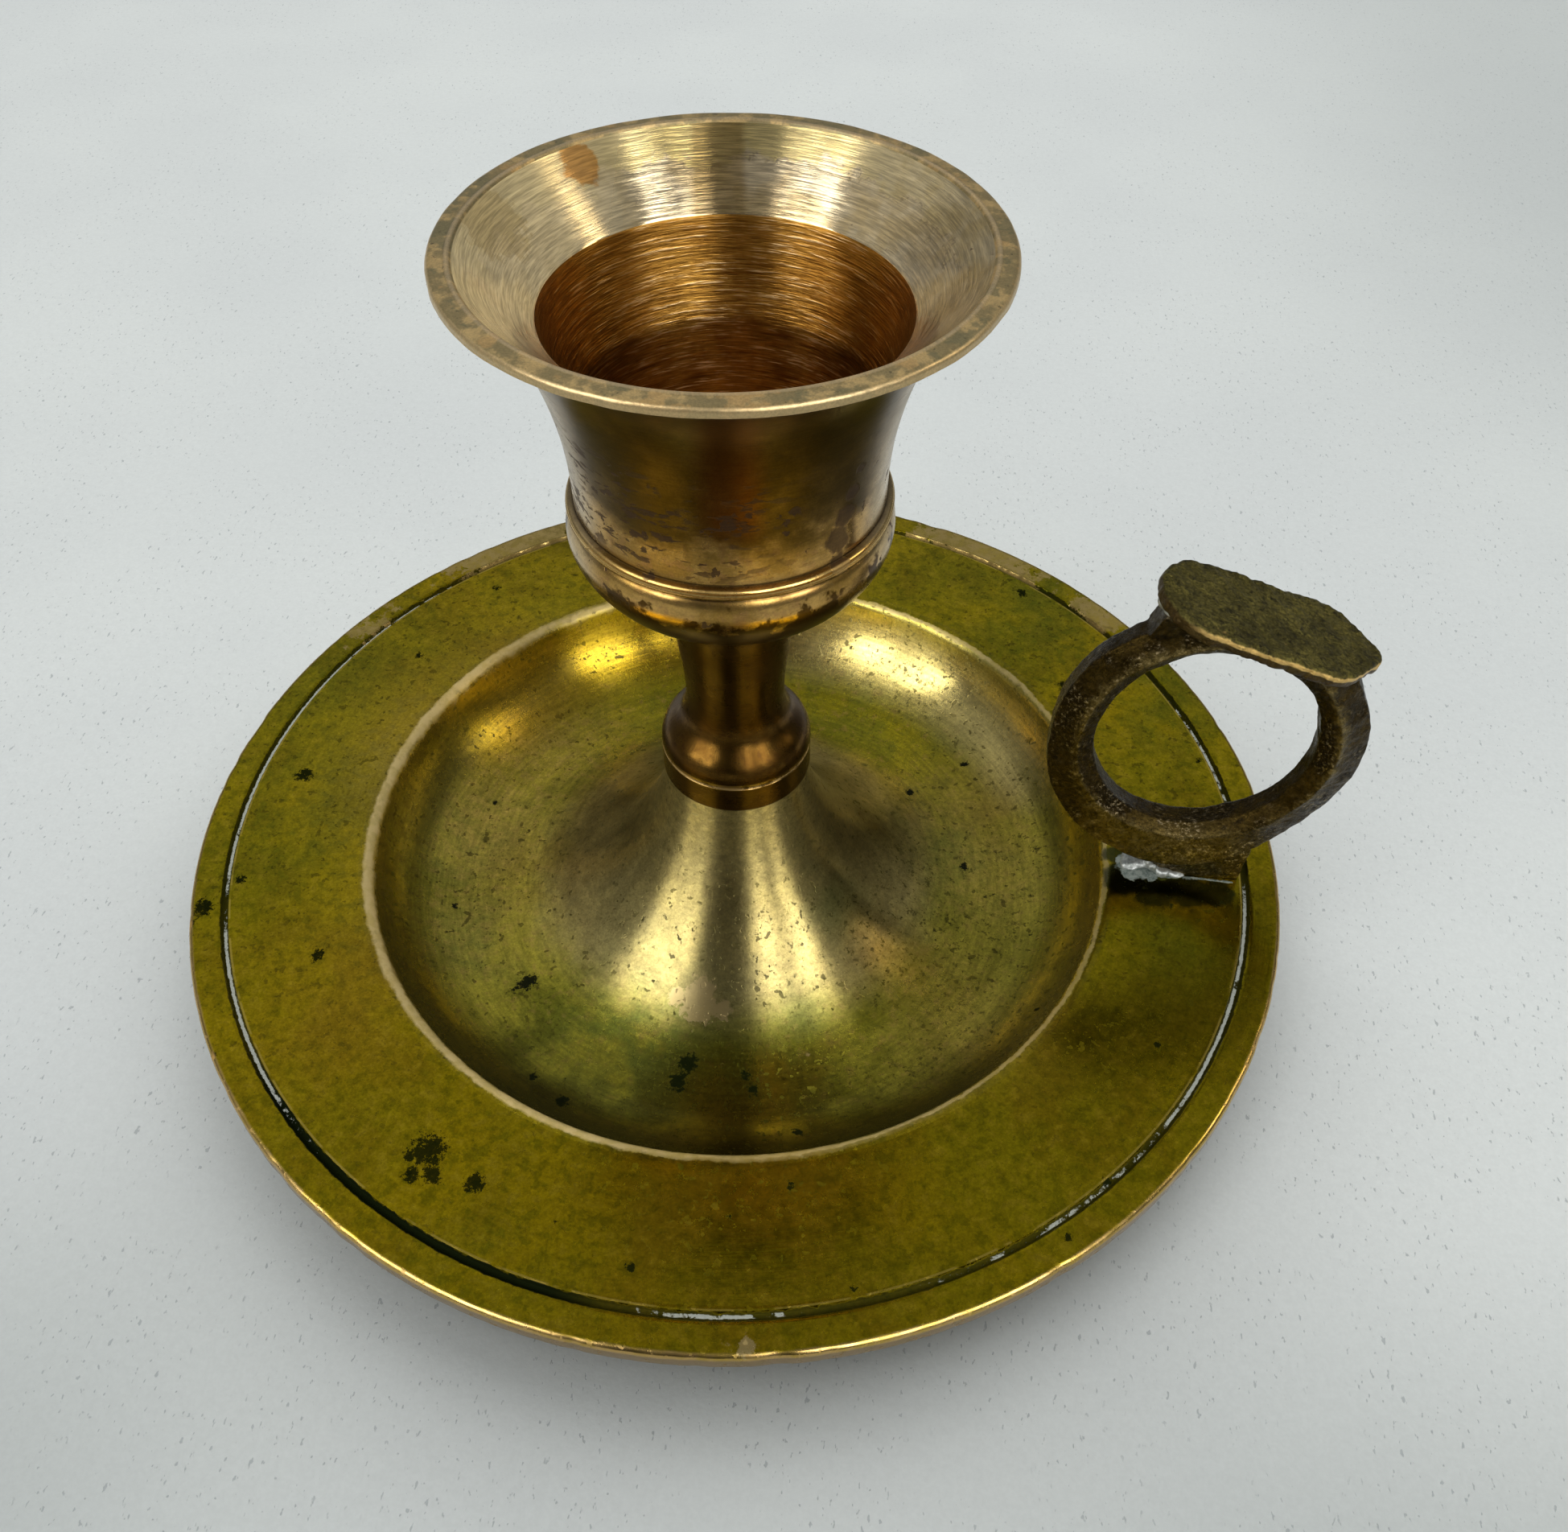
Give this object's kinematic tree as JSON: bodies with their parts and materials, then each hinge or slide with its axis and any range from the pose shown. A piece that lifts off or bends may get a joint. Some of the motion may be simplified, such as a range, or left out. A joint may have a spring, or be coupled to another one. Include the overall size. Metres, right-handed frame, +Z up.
{
  "type": "chamberstick",
  "caption": "Brass chamberstick: flared candle cup on a turned stem over a round drip pan, with a finger ring and thumb plate.",
  "frame": {"origin": "on the pan's axis, at the surface the stick stands on", "axes": "+Z up along the axis of the pan, stem and cup; +X from the axis towards the finger ring"},
  "size_m": [0.1025, 0.1, 0.0682],
  "materials": {
    "pan_brass": "aged, satin, with green and black spotting",
    "cup_brass": "aged, semi-gloss, tarnished brown and pink",
    "fastener": "dull",
    "ring_bronze": "dark cast, worn on the ridges",
    "plate_bronze": "dark, rough, worn bright along the edge",
    "solder": "silvery soft solder"
  },
  "bodies": {
    "root": {"drip_pan": "pan_brass", "candle_cup": "cup_brass", "baluster_stem": "cup_brass", "stem_screw": "fastener", "stem_washer": "fastener", "finger_ring": "ring_bronze", "thumb_plate": "plate_bronze", "thumb_plate_solder": "solder", "ring_foot_solder": "solder"}
  },
  "joints": []
}
